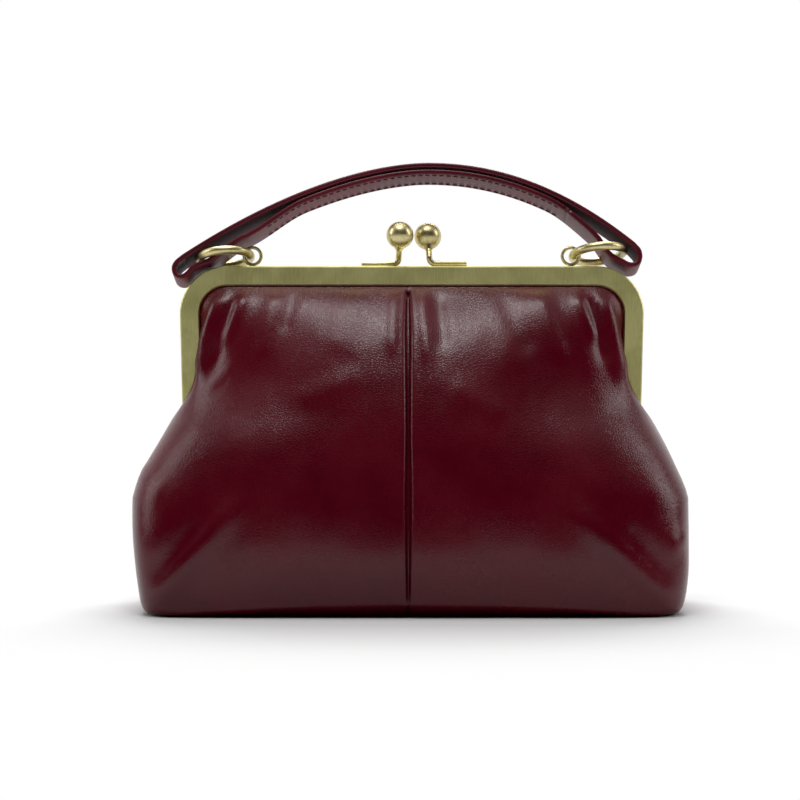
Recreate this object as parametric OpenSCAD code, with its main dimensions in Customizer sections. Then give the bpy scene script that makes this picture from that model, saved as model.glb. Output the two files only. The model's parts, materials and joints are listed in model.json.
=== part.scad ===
// Kiss lock frame purse: a soft leather pouch hung in a hinged two-part channel frame,
// closed by two ball tips on bent wire stems and carried by a strap on two wire rings.
// Millimetres. +X to the right, +Y to the back, +Z up, origin on the table under the middle.

/* [Frame] */
// Overall width of the frame
frame_w = 206.4; // [190:0.2:220]
// Height of the frame's top edge above the table
frame_top = 152.3; // [146:0.1:158]
// Height of the hinge axis above the table
hinge_z = 84; // [80:0.5:88]
// Width of the channel as seen from the front
channel_w = 8.7; // [7.5:0.1:9.5]
// Depth of one channel, front to back
channel_d = 5; // [4.6:0.1:6]
// Thickness of the frame's sheet metal
frame_sheet = 0.8; // [0.6:0.05:1]
// Outer radius of the frame's corners
corner_r = 21; // [17:0.5:24]
// Angle by which the arms lean in towards the hinges
arm_toe = 1.5; // [0.5:0.1:2]
// Bevel on the frame's edges
edge_bevel = 0.55; // [0.3:0.05:0.7]
// Gap between the two closed channels
parting_gap = 0.6; // [0.4:0.1:1]

/* [Hinge] */
// Radius of the round hinge tabs
tab_r = 4.6; // [4:0.1:4.8]
// Thickness of each hinge tab
tab_t = 1; // [0.8:0.1:1.2]
// Radius of the rivet's shank
rivet_r = 1.2; // [1:0.1:1.4]
// Radius of the rivet's heads
rivet_head_r = 2.2; // [2:0.1:2.6]
// Thickness of the rivet's heads
rivet_head_t = 0.8; // [0.6:0.1:0.9]
// Running clearance between the rivet and the tab that turns on it
rivet_clear = 0.05; // [0.02:0.01:0.09]
// Gap between two hinge pieces that lie side by side
side_gap = 0.15; // [0.1:0.05:0.2]

/* [Clasp] */
// Radius of the ball tips
ball_r = 6.05; // [5.5:0.05:6.1]
// Distance across between the two ball centres
ball_spacing = 12.5; // [12.4:0.1:13.5]
// Sideways place of the point between the balls
clasp_x = 1; // [-3:0.5:3]
// Height of the ball centres above the frame's top edge
ball_rise = 13.9; // [13.4:0.1:15]
// How far each ball stands past the middle plane, on the other half's side
ball_cross = 3; // [2:0.1:3.5]
// Diameter of the stem wire
stem_wire = 2.6; // [2.2:0.1:2.8]
// Length of wire that lies along the frame
stem_foot = 14; // [11:0.5:16]
// Radius of the wire's bend, to its centre line
stem_bend = 2.6; // [2:0.1:3]
// Sideways step from a stem's upright part to its ball's centre
stem_step = 0.6; // [0:0.1:1]
// Radius of the cone collar under each ball
collar_r = 2.5; // [2.1:0.1:3]
// Height of the cone collar
collar_h = 1.8; // [1.4:0.1:2.2]

/* [Handle hardware] */
// Distance from the frame's side to each strap eye
eye_inset = 31.8; // [30:0.2:34]
// Height of the foot under a strap eye
eye_foot = 0.45; // [0.3:0.05:0.6]
// Radius of that foot
eye_foot_r = 1.2; // [1:0.1:1.4]
// Radius of the hole in a strap eye
eye_hole_r = 3.05; // [2.9:0.05:3.3]
// Diameter of the eye's wire
eye_wire = 1.5; // [1.3:0.1:1.7]
// Inside diameter of the strap rings
ring_inner = 19; // [18.6:0.1:20]
// Diameter of the ring's wire
ring_wire = 3.8; // [3.4:0.1:3.9]
// Play between a ring and the side of its eye that it bears on
ring_play = 0.2; // [0.15:0.05:0.3]
// Upward tilt of the left ring
left_ring_lift = -4.7; // [-4.8:0.1:-4.2]
// Upward tilt of the right ring
right_ring_lift = 5; // [4:0.5:6]
// Backward lean of the strap at rest
handle_lean = 14; // [8:1:18]

/* [Strap] */
// Width of the strap
strap_w = 15; // [14:0.5:17]
// Thickness of the strap
strap_t = 2.3; // [2.2:0.1:2.8]
// Gap between the outer and the inner run
run_gap = 0.9; // [0.5:0.1:1.2]
// Sideways place of the strap's crown
crown_x = 7; // [0:0.5:9]
// Height of the crown's outer face above the ring pivots
crown_h = 42; // [40:0.1:46]
// Fall of the outer face from the crown to the left loop
left_fall = 45; // [44:0.1:46]
// Fall of the outer face from the crown to the right loop
right_fall = 38.8; // [38:0.1:40]
// Power of the left side's curve: higher is flatter near the crown
left_power = 1.75; // [1.7:0.01:1.9]
// Power of the right side's curve
right_power = 2.11; // [2:0.01:2.2]
// Where the left loop's turn begins, from the left eye
left_reach = 33; // [32.4:0.1:33.6]
// Where the right loop's turn begins, from the right eye
right_reach = 29.4; // [28.8:0.1:30]

/* [Leather] */
// Thickness of the body leather
leather_t = 1.2; // [1:0.1:1.4]
// Thickness of the lining
lining_t = 0.4; // [0.3:0.05:0.5]
// Clear gap where the upper leather slides over the pouch
slide_gap = 0.9; // [0.7:0.1:1.1]
// Half the pouch's width where it meets the table
base_half_w = 111; // [106:0.5:114]
// Half the pouch's greatest width
belly_half_w = 122; // [118:0.5:126]
// Height of the greatest width
belly_z = 50; // [44:1:56]
// Half the pouch's width at the hinge
hinge_half_w = 107; // [106.5:0.1:109]
// Half the pouch's depth at the base
base_half_d = 44; // [40:0.5:47]
// Half the pouch's greatest depth
belly_half_d = 49.5; // [47:0.5:53]
// Height of the greatest depth
belly_d_z = 30; // [24:1:38]
// Half the pouch's depth at the hinge, which is also the radius that its neck follows
neck_r = 38; // [34:0.5:40]
// How square the base's outline is: 2 is an ellipse
base_square = 4.5; // [3.5:0.1:6]
// How square the outline is at the hinge
hinge_square = 2.6; // [2.4:0.1:2.8]
// Depth of the centre pleat's groove
pleat_depth = 0.8; // [0.4:0.1:0.9]
// Half the width of the centre pleat's groove
pleat_half_w = 1.4; // [1:0.1:2]
// Sideways place of the centre pleat
pleat_x = -1.7; // [-4:0.1:4]
// Width of the strip sewn behind the pleat
underlay_w = 24; // [18:1:30]
// Thickness of the base board
board_t = 2; // [1.5:0.5:3]

/* [Motion] */
// How far each half of the frame opens
open_angle = 42; // [36:1:42]

/* [Hidden] */
$fn = 72;
brass = [0.55, 0.50, 0.30];
burgundy = [0.35, 0.03, 0.08];
lining_tan = [0.45, 0.38, 0.33];

// Frame places, worked out from the sizes above
half_w = frame_w / 2;
corner_x = half_w - corner_r;
corner_z = frame_top - corner_r;
channel_y = parting_gap / 2;
channel_mid_y = channel_y + channel_d / 2;
groove_w = channel_d - 2 * frame_sheet;
arm_top_x = corner_x + corner_r * cos(arm_toe);
arm_top_z = corner_z - corner_r * sin(arm_toe);
arm_end_z = hinge_z + tab_r + 1;
seat = 0.05;
corner_steps = 14;

// The channel's section: x runs inwards from the outer edge, y away from the middle plane
channel_line = let(b = edge_bevel, w = channel_w, d = channel_d, s = frame_sheet)
    [[0, b], [0, d - b], [b, d], [w - b, d], [w, d - b], [w, d - s], [s, d - s], [s, s], [w, s], [w, 0], [b, 0]];
channel_caps = [[7, 8, 9, 10], [0, 7, 10], [1, 6, 7, 0], [2, 6, 1], [2, 3, 4, 5, 6]];

// Places along the outer edge of the frame, each with the way inwards, down to the height end_z
function flip(list) = [for (i = [len(list) - 1:-1:0]) list[i]];
function arm_drop(end_z) = (arm_top_z - end_z) / cos(arm_toe);
function frame_side(end_z) = concat(
    [[[arm_top_x - arm_drop(end_z) * sin(arm_toe), end_z], [-cos(arm_toe), sin(arm_toe)]]],
    [for (i = [0:corner_steps]) let(t = -arm_toe + (90 + arm_toe) * i / corner_steps, n = [cos(t), sin(t)])
        [[corner_x, corner_z] + corner_r * n, -n]]);
function frame_path(end_z) = concat(frame_side(end_z),
    [for (q = flip(frame_side(end_z))) [[-q[0][0], q[0][1]], [-q[1][0], q[1][1]]]]);

// Carries a closed line of points along the back half, and closes both ends with the faces given
module along_frame(end_z, line, caps) {
    path = frame_path(end_z);
    m = len(line);
    last = (len(path) - 1) * m;
    pts = [for (q = path, p = line) [q[0][0] + p[0] * q[1][0], channel_y + p[1], q[0][1] + p[0] * q[1][1]]];
    sides = [for (j = [0:len(path) - 2], i = [0:m - 1]) let(a = j * m + i, b = j * m + (i + 1) % m)
        each [[a, a + m, b], [b, a + m, b + m]]];
    polyhedron(points = pts, faces = concat(sides, caps, [for (c = caps) [for (i = flip(c)) last + i]]));
}

// Hinge places: the outer tab belongs to the front half and the inner one to the back half
web_x = arm_top_x - (arm_top_z - hinge_z) * tan(arm_toe) - frame_sheet;
outer_tab_x = web_x - rivet_head_t - side_gap - tab_t;
inner_tab_x = outer_tab_x - side_gap - tab_t;

// A hinge tab: a round eye with a neck that reaches up between the arm's lips
module hinge_tab(x0, hole_r) {
    neck_y = channel_y + channel_d - frame_sheet;
    translate([x0, 0, 0]) difference() {
        union() {
            translate([0, 0, hinge_z]) rotate([0, 90, 0]) cylinder(r = tab_r, h = tab_t);
            translate([0, channel_y, hinge_z]) cube([tab_t, neck_y - channel_y, tab_r + 5]);
        }
        translate([-1, 0, hinge_z]) rotate([0, 90, 0]) cylinder(r = hole_r, h = tab_t + 2);
    }
}

module half_frame(tab_x, hole_r) {
    along_frame(arm_end_z, channel_line, channel_caps);
    for (side = [0, 1]) mirror([side, 0, 0]) hinge_tab(tab_x, hole_r);
}

module back_frame() {
    color(brass) half_frame(inner_tab_x, rivet_r + rivet_clear);
}

module front_frame() {
    color(brass) mirror([0, 1, 0]) half_frame(outer_tab_x, rivet_r);
}

// The rivet is set fast in the front half's tab and the back half's tab turns on it
module hinge_rivet() {
    shank_x = inner_tab_x - side_gap;
    head_x = outer_tab_x + tab_t;
    reach = rivet_head_t / 2;
    translate([shank_x - reach, 0, hinge_z]) rotate([0, 90, 0])
        cylinder(r = rivet_r, h = head_x - shank_x + 2 * reach);
    for (x = [shank_x - rivet_head_t, head_x]) translate([x, 0, hinge_z]) rotate([0, 90, 0])
        cylinder(r = rivet_head_r, h = rivet_head_t);
}

module left_hinge_rivet() {
    color(brass) mirror([1, 0, 0]) hinge_rivet();
}

module right_hinge_rivet() {
    color(brass) hinge_rivet();
}

// Clasp places, for the back half's stem: its ball leans across to the front
ball_z = frame_top + ball_rise;
ball_x = clasp_x - ball_spacing / 2;
stem_r = stem_wire / 2;
stem_z = frame_top + stem_r - seat;
post_x = ball_x - stem_step;
post_y = channel_mid_y;
post_z = stem_z + stem_bend;
lean_vec = [stem_step, -ball_cross - post_y, ball_z - post_z];
lean_len = norm(lean_vec);
lean_tilt = acos(lean_vec[2] / lean_len);
lean_turn = atan2(lean_vec[1], lean_vec[0]);

// Places children on the leaning part of the stem, with their z along it
module on_lean(dist) {
    translate([post_x, post_y, post_z]) rotate([0, 0, lean_turn]) rotate([0, lean_tilt, 0])
        translate([0, 0, dist]) children();
}

module clasp_stem() {
    foot_end_x = post_x - stem_bend;
    intersection() {
        union() {
            translate([foot_end_x - stem_foot, post_y, stem_z]) rotate([0, 90, 0])
                cylinder(r = stem_r, h = stem_foot);
            translate([foot_end_x, post_y, post_z]) rotate([90, 0, 0]) rotate([0, 0, -90])
                rotate_extrude(angle = 90) translate([stem_bend, 0]) circle(r = stem_r);
            translate([post_x, post_y, post_z]) sphere(r = stem_r);
            on_lean(0) cylinder(r = stem_r, h = lean_len - ball_r + 2);
        }
        translate([foot_end_x - stem_foot - 1, -20, frame_top]) cube([60, 40, 40]);
    }
}

module clasp_ball() {
    difference() {
        on_lean(lean_len) sphere(r = ball_r);
        on_lean(0) cylinder(r = stem_r, h = lean_len - ball_r + 2);
    }
}

module clasp_collar() {
    difference() {
        on_lean(lean_len - ball_r - collar_h + 0.6) cylinder(r1 = stem_r + 0.3, r2 = collar_r, h = collar_h);
        on_lean(0) cylinder(r = stem_r, h = lean_len);
        on_lean(lean_len) sphere(r = ball_r);
    }
}

// The front half's set is the back half's turned half round about the clasp's middle
module front_clasp() {
    translate([2 * clasp_x, 0, 0]) rotate([0, 0, 180]) children();
}

module back_clasp_stem() {
    color(brass) clasp_stem();
}

module back_clasp_collar() {
    color(brass) clasp_collar();
}

module back_clasp_ball() {
    color(brass) clasp_ball();
}

module front_clasp_stem() {
    color(brass) front_clasp() clasp_stem();
}

module front_clasp_collar() {
    color(brass) front_clasp() clasp_collar();
}

module front_clasp_ball() {
    color(brass) front_clasp() clasp_ball();
}

// Handle places: each ring hangs in an eye that stands on the back half
eye_major = eye_hole_r + eye_wire / 2;
pivot_y = channel_mid_y;
pivot_z = frame_top + eye_hole_r + eye_wire + eye_foot;
eye_x = half_w - eye_inset;
ring_wire_r = ring_wire / 2;
ring_major = ring_inner / 2 + ring_wire_r;
ring_bear = eye_hole_r - ring_wire_r - ring_play;

module strap_eye(side) {
    translate([side * eye_x, pivot_y, pivot_z])
        rotate([90, 0, 0]) rotate_extrude() translate([eye_major, 0]) circle(r = eye_wire / 2);
    translate([side * eye_x, pivot_y, frame_top]) cylinder(r = eye_foot_r, h = pivot_z - frame_top - eye_major);
}

module left_strap_eye() {
    color(brass) strap_eye(-1);
}

module right_strap_eye() {
    color(brass) strap_eye(1);
}

// Turns the handle's upright parts back to their lean about the ring pivots
module leaned() {
    translate([0, pivot_y, pivot_z]) rotate([-handle_lean, 0, 0]) children();
}

// A ring in the handle's own upright frame, pulled outwards against its eye
module ring(lift) {
    translate([eye_x + ring_bear, 0, 0]) rotate([0, -lift, 0]) translate([ring_major, 0, 0])
        rotate_extrude() translate([ring_major, 0]) circle(r = ring_wire_r);
}

module left_ring() {
    color(brass) leaned() mirror([1, 0, 0]) ring(left_ring_lift);
}

module right_ring() {
    color(brass) leaned() ring(right_ring_lift);
}

// The strap's outer face, as a height above the pivots
left_loop_x = eye_x + left_reach;
right_loop_x = eye_x + right_reach;
function fall(x, reach, drop, power) = drop * pow(abs(x - crown_x) / reach, power);
function face_w(x) = x < crown_x
    ? crown_h - fall(x, left_loop_x + crown_x, left_fall, left_power)
    : crown_h - fall(x, right_loop_x - crown_x, right_fall, right_power);
function face_dir(x) = let(e = 0.05, d = [2 * e, face_w(x + e) - face_w(x - e)]) d / norm(d);

// A point below the outer face, at a distance along its normal
function under_face(x, depth) = let(d = face_dir(x)) [x + d[1] * depth, face_w(x) - d[0] * depth];
run_depth = strap_t + run_gap;
function smooth(u) = let(t = max(0, min(1, u))) t * t * (3 - 2 * t);
function gap_depth(x) = run_depth + spread * smooth((abs(x - crown_x) - spread_from) / (spread_to - spread_from));
spread = 3.4;
spread_from = eye_x - 31.4;
spread_to = eye_x + 10.6;

// The strip's middle line: inner run to the left, left loop, outer run, right loop, return
function run_back(from, to, steps) = [for (i = [0:steps]) let(x = from + (to - from) * i / steps)
    under_face(x, gap_depth(x) + strap_t / 2)];
function run_out(from, to, steps) = [for (i = [0:steps]) under_face(from + (to - from) * i / steps, strap_t / 2)];
function curve(a, m, b) = [for (i = [0:5]) bend3(a, m, b, i / 5)];
function on_left(list) = [for (p = list) [p[0] - eye_x, p[1]]];
function on_right(list) = [for (p = list) [p[0] + eye_x, p[1]]];
left_turn = on_left(concat([[-4.1, 6.9], [-7.1, 5], [-10.1, 2.7], [-13.4, -0.1], [-16.2, -2.4], [-17.9, -3.6],
    [-19.4, -4.55], [-21, -5.05], [-23.4, -5.95]],
    curve([-26.4, -7.9], [-28.8, -11.7], [-30.8, -11.7]), curve([-31.5, -11.65], [-33.8, -11.4], [-34.2, -8.5]),
    curve([-34.25, -8.1], [-34.5, -5.7], [-31.2, -3.3])));
right_turn = on_right(concat(curve([28.7, 1.9], [30.45, 0.3], [30.2, -2.6]), curve([30.1, -3], [29.7, -6.3], [26.6, -6.3]),
    curve([26.2, -6.3], [24.5, -6.2], [22.8, -4.9]),
    [[19.9, -3.4], [17.5, -1.9], [15.5, 0.2], [13.8, 3.2], [11.8, 6.4], [9.2, 9.4]]));
butt_x = eye_x + 0.6;
butt_gap = 0.5;
strip = concat(run_back(butt_x, -eye_x - 6.6, 36), left_turn,
    run_out(-eye_x - 31.1, eye_x + 28.1, 44), right_turn,
    run_back(eye_x + 8.6, butt_x + butt_gap, 4));

// Widens a middle line into a strip of even thickness
function side_vec(p, i) = let(a = p[max(0, i - 1)], b = p[min(len(p) - 1, i + 1)], d = (b - a) / norm(b - a))
    [-d[1], d[0]];
function edge_line(p, h) = [for (i = [0:len(p) - 1]) p[i] + h * side_vec(p, i)];

module strap() {
    color(burgundy) leaned() translate([0, strap_w / 2, 0]) rotate([90, 0, 0]) linear_extrude(strap_w)
        polygon(concat(edge_line(strip, strap_t / 2), flip(edge_line(strip, -strap_t / 2))));
}

// What the groove holds, from its outer lip inwards: leather, lining, paper cord
lip_y = channel_d - frame_sheet - seat;
cord_short = 6;
cord_r = (groove_w - leather_t - lining_t - 4 * seat) / 2;

module paper_cord() {
    c = frame_sheet + seat + cord_r;
    along_frame(arm_end_z + cord_short, [for (i = [0:7]) [c, c] + cord_r * [sin(45 * i), cos(45 * i)]],
        [[for (i = [0:7]) i]]);
}

module back_paper_cord() {
    color("tan") paper_cord();
}

module front_paper_cord() {
    color("tan") mirror([0, 1, 0]) paper_cord();
}

// Closes two grids of points, outer and inner, into one shell
module shell(outer, inner) {
    rows = len(outer);
    cols = len(outer[0]);
    n = rows * cols;
    pts = concat([for (r = outer, p = r) p], [for (r = inner, p = r) p]);
    sheet_faces = [for (j = [0:rows - 2], i = [0:cols - 2]) let(a = j * cols + i, b = a + 1, c = a + cols)
        each [[a, c + 1, b], [a, c, c + 1], [n + a, n + b, n + c + 1], [n + a, n + c + 1, n + c]]];
    loop = concat([for (i = [0:cols - 2]) i], [for (j = [0:rows - 2]) j * cols + cols - 1],
        [for (i = [cols - 1:-1:1]) (rows - 1) * cols + i], [for (j = [rows - 1:-1:1]) j * cols]);
    rim_faces = [for (k = [0:len(loop) - 1]) let(a = loop[k], b = loop[(k + 1) % len(loop)])
        each [[a, n + b, n + a], [a, b, n + b]]];
    polyhedron(points = pts, faces = concat(sheet_faces, rim_faces));
}

// Half-width and half-depth of the pouch at a height, and how square its outline is
function pouch_a(z) = z < belly_z
    ? base_half_w + (belly_half_w - base_half_w) * pow(sin(90 * z / belly_z), 0.4)
    : belly_half_w - (belly_half_w - hinge_half_w) * pow((z - belly_z) / (hinge_z - belly_z), 1.3);
function pouch_b(z) = z < belly_d_z
    ? base_half_d + (belly_half_d - base_half_d) * pow(sin(90 * z / belly_d_z), 0.6)
    : belly_half_d - (belly_half_d - neck_r) * pow((z - belly_d_z) / (hinge_z - belly_d_z), 1.5);
function pouch_n(z) = base_square + (hinge_square - base_square) * z / hinge_z;
function arc_y(s, n) = pow(max(0, 1 - pow(abs(s), n)), 1 / n);

// The neck turns about the hinge axis: its radius depends on the place across alone
function neck_radius(x, g) = (neck_r - g) * arc_y(min(1, abs(x) / (hinge_half_w - g)), hinge_square);

// Places across the leather: shares of the half-width, with three for the pleat's groove
side_share = [1, 0.994, 0.97, 0.93, 0.871, 0.844, 0.77, 0.66, 0.52, 0.36, 0.2];
cols = 2 * len(side_share) + 3;
mid_col = len(side_share);
function across(i, w) = i < mid_col ? -side_share[i] * w
    : i > mid_col + 2 ? side_share[cols - 1 - i] * w
    : pleat_x + (i - mid_col - 1) * pleat_half_w;
function groove(i, g) = i == mid_col + 1 && g == 0 ? pleat_depth : 0;

// The pouch's levels: heights below the hinge, then shares of the neck's arc above it
wall_z = [3, 10, 22, 36, belly_z, 60, 68, 76];
neck_share = [0, 0.25, 0.5, 0.75, 1];
rows = 2 + len(wall_z) + len(neck_share);
neck_open = 55;
neck_side = 17;
base_edge = 3;
function neck_top(i) = abs(across(i, hinge_half_w)) < hinge_half_w * 0.86 ? neck_open : neck_side;
function pouch_point(j, i, g) =
    j < 2 ? let(a = base_half_w - base_edge - g, b = base_half_d - base_edge - g, x = across(i, a))
        [x, j == 0 ? 0 : -b * arc_y(x / a, base_square), g]
    : j < 2 + len(wall_z) ? let(z = wall_z[j - 2], a = pouch_a(z) - g, b = pouch_b(z) - g, x = across(i, a))
        [x, -b * arc_y(x / a, pouch_n(z)) + groove(i, g), z]
    : let(x = across(i, hinge_half_w - g), r = neck_radius(x, g) - groove(i, g),
          k = neck_share[j - 2 - len(wall_z)], t = k * neck_top(i),
          rise = 2 * k * pow(abs(x) / hinge_half_w, 26))
        [x, -r * cos(t), hinge_z + r * sin(t) + rise];
function pouch_grid(g, first = 0, last = 100) =
    [for (j = [0:rows - 1]) [for (i = [0:cols - 1]) if (i >= first && i <= last) pouch_point(j, i, g)]];

// The underlay lies against the leather, and the lining lies inside both
underlay_t = 0.8;
lining_in = leather_t + underlay_t + seat;

module front_pouch_leather() {
    color(burgundy) shell(pouch_grid(0), pouch_grid(leather_t));
}

module back_pouch_leather() {
    color(burgundy) mirror([0, 1, 0]) shell(pouch_grid(0), pouch_grid(leather_t));
}

module pouch_lining() {
    shell(pouch_grid(lining_in), pouch_grid(lining_in + lining_t));
}

module front_pouch_lining() {
    color(lining_tan) pouch_lining();
}

module back_pouch_lining() {
    color(lining_tan) mirror([0, 1, 0]) pouch_lining();
}

// The strip behind the pleat follows the leather's inner face
function strip_grid(g) = [for (j = [2:rows - 1]) [for (k = [-1, 0, 1])
    let(p = pouch_point(j, mid_col + 1, leather_t), q = pouch_point(j, mid_col + 1, g)) [pleat_x + k * underlay_w / 2, q[1], q[2]]]];

module pleat_underlay() {
    shell(strip_grid(leather_t + 0.15), strip_grid(leather_t + underlay_t));
}

module front_pleat_underlay() {
    color("dimgray") pleat_underlay();
}

module back_pleat_underlay() {
    color("dimgray") mirror([0, 1, 0]) pleat_underlay();
}

// The board lies on the lining and keeps the bottom flat
module base_board() {
    r = 14;
    x = base_half_w - 13;
    y = base_half_d - 8;
    color("silver") translate([0, 0, lining_in + lining_t + seat]) linear_extrude(board_t) {
        square([2 * x, 2 * (y - r)], center = true);
        square([2 * (x - r), 2 * y], center = true);
        for (sx = [-1, 1], sy = [-1, 1]) translate([sx * (x - r), sy * (y - r)]) circle(r = r);
    }
}

// Upper leather: from the groove down to an edge that slides over the pouch's neck
upper_w = half_w - channel_w - (corner_z - hinge_z) * tan(arm_toe) + 0.4;
upper_in = leather_t + lining_t;
lap_r = slide_gap + upper_in;
lap_angle = 45;
inner_corner_r = corner_r - channel_w;
tuck = 2.5;
band_show = 0.6;
slope_steps = 7;
upper_share = [1, 0.985, 0.95, 0.88, 0.78, 0.64, 0.48, 0.32, 0.16];
upper_cols = 2 * len(upper_share) + 3;
upper_mid = len(upper_share);
function upper_x(i, w) = i < upper_mid ? -upper_share[i] * w
    : i > upper_mid + 2 ? upper_share[upper_cols - 1 - i] * w
    : pleat_x + (i - upper_mid - 1) * pleat_half_w;
function inside_top(x) = let(d = max(0, abs(x) - corner_x))
    corner_z + sqrt(max(0, pow(inner_corner_r, 2) - d * d));
function push_out(p, r) = let(d = norm(p)) d < r ? p * r / d : p;
function fullness(u) = pow(max(0, 1 - pow(abs(u), 10)), 0.25);
function bend3(a, b, c, t) = (1 - t) * (1 - t) * a + 2 * t * (1 - t) * b + t * t * c;

// A point of the upper leather's outer face, as y and height above the hinge
function slope_point(x, w, t) =
    let(r = neck_radius(x, 0) + lap_r,
        top = [-(channel_y + lip_y), inside_top(x) - hinge_z],
        low = r * [-cos(lap_angle), sin(lap_angle)],
        reach = (top[0] - low[0]) * 0.75,
        mid = low + [reach, reach],
        full = bend3(top, mid, low, t),
        flat = [top[0] + (low[0] - top[0]) * pow(t, 3), top[1] + (low[1] - top[1]) * t],
        f = fullness(x / w))
    push_out(f * full + (1 - f) * flat, r);
function slope_normal(x, w, t) =
    let(e = 0.01, a = slope_point(x, w, max(0, t - e)), b = slope_point(x, w, min(1, t + e)), d = (b - a) / norm(b - a))
    [-d[1], d[0]];
function upper_point(j, i, g) = j < 0
    ? let(p = upper_point(0, i, g)) [p[0], p[1], p[2] + tuck]
    : let(t = j / slope_steps, x = upper_x(i, upper_w), n = slope_normal(x, upper_w, t), q = slope_point(x, upper_w, t),
        dent = i == upper_mid + 1 && g == 0 ? pleat_depth : 0,
        p = q + n * (g + dent), r = neck_radius(x, 0) + lap_r - g - dent, s = push_out(p, r))
    [x * (upper_w - g) / upper_w, s[0], hinge_z + s[1]];
function upper_grid(g) = [for (j = [slope_steps:-1:-1]) [for (i = [0:upper_cols - 1]) upper_point(j, i, g)]];

// The band of leather that the groove grips, all round the frame's inside
band_end_z = hinge_z + neck_radius(upper_w - 3, 0) + lap_r + 1;
module gripped_band(from_lip, t) {
    near = frame_sheet + seat;
    far = channel_w + band_show;
    low = lip_y - from_lip - t;
    along_frame(band_end_z, [[near, low], [near, low + t], [far, low + t], [far, low]], [[0, 1, 2, 3]]);
}

module upper_leather() {
    shell(upper_grid(0), upper_grid(leather_t));
    mirror([0, 1, 0]) gripped_band(0.1, leather_t - 0.2);
}

module upper_lining() {
    shell(upper_grid(leather_t), upper_grid(upper_in));
}

module front_upper_leather() {
    color(burgundy) upper_leather();
}

module back_upper_leather() {
    color(burgundy) mirror([0, 1, 0]) upper_leather();
}

module front_upper_lining() {
    color(lining_tan) upper_lining();
}

module back_upper_lining() {
    color(lining_tan) mirror([0, 1, 0]) upper_lining();
}

front_frame();
back_frame();
left_hinge_rivet();
right_hinge_rivet();
front_clasp_stem();
front_clasp_collar();
front_clasp_ball();
back_clasp_stem();
back_clasp_collar();
back_clasp_ball();
left_strap_eye();
right_strap_eye();
left_ring();
right_ring();
strap();
front_paper_cord();
back_paper_cord();
front_upper_leather();
back_upper_leather();
front_upper_lining();
back_upper_lining();
front_pouch_leather();
back_pouch_leather();
front_pouch_lining();
back_pouch_lining();
front_pleat_underlay();
back_pleat_underlay();
base_board();
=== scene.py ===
"""Kiss lock frame purse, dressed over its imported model.

Lengths in the classes are in millimetres, and they become metres where a mesh is made.
"""
import json
import logging
import math
from dataclasses import dataclass, field
from enum import Enum
from itertools import zip_longest
from typing import Sequence

import bmesh
import bpy
import numpy as np
from bpy.types import Material, Node, NodeSocket, NodeTree, Object
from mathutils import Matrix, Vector, noise

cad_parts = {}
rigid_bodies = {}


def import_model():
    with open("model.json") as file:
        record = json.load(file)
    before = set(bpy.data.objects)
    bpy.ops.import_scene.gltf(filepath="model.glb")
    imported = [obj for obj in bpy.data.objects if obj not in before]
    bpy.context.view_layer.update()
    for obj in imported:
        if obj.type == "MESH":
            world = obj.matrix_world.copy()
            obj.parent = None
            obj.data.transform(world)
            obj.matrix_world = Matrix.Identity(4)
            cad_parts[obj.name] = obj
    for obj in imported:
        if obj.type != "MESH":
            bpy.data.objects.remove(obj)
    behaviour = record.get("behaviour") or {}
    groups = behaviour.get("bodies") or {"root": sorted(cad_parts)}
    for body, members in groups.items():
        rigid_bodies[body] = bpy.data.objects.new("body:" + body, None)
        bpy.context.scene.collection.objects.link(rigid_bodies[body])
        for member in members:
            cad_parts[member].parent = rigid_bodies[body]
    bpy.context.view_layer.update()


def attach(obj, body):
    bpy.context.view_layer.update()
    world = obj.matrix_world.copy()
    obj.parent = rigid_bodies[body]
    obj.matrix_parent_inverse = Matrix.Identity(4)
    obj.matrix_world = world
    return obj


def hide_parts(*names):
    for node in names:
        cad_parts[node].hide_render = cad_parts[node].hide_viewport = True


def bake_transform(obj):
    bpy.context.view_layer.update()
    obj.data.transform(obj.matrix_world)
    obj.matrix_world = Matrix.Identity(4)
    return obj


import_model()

MM = 0.001
PER_METRE = 1000.0
FLOAT = "NodeSocketFloat"
LOG = logging.getLogger("purse")

Vec3 = tuple[float, float, float]
Rgb = tuple[float, float, float]


class Body(Enum):
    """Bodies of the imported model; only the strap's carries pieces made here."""

    POUCH = "pouch"
    FRONT = "front_half"
    BACK = "back_half"
    STRAP = "strap"


class Side(Enum):
    """The two sides of the purse, by the sign that y takes there."""

    FRONT = -1
    BACK = 1

    @property
    def label(self) -> str:
        """Name used in piece names."""
        return self.name.lower()

    @property
    def half(self) -> Body:
        """The half of the frame on this side."""
        return Body.FRONT if self is Side.FRONT else Body.BACK


def smooth(t: float | np.ndarray) -> float | np.ndarray:
    """Eases t from 0 to 1; below 0 gives 0 and above 1 gives 1."""
    t = np.clip(t, 0.0, 1.0)
    return t * t * (3 - 2 * t)


def srgb(r: float, g: float, b: float) -> Rgb:
    """Turns an 8-bit display colour into a linear one.

    Args:
        r: Red, 0 to 255.
        g: Green, 0 to 255.
        b: Blue, 0 to 255.

    Returns:
        The linear colour.
    """
    def lin(c: float) -> float:
        c /= 255
        return c / 12.92 if c <= 0.04045 else ((c + 0.055) / 1.055) ** 2.4
    return lin(r), lin(g), lin(b)


# Meshes.
def new_object(name: str, data: bpy.types.ID) -> Object:
    """Makes an object of some data and adds it to the scene.

    Args:
        name: Its name.
        data: Its mesh, curve, lamp or camera.

    Returns:
        The new object.
    """
    obj = bpy.data.objects.new(name, data)
    bpy.context.scene.collection.objects.link(obj)
    return obj


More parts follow.
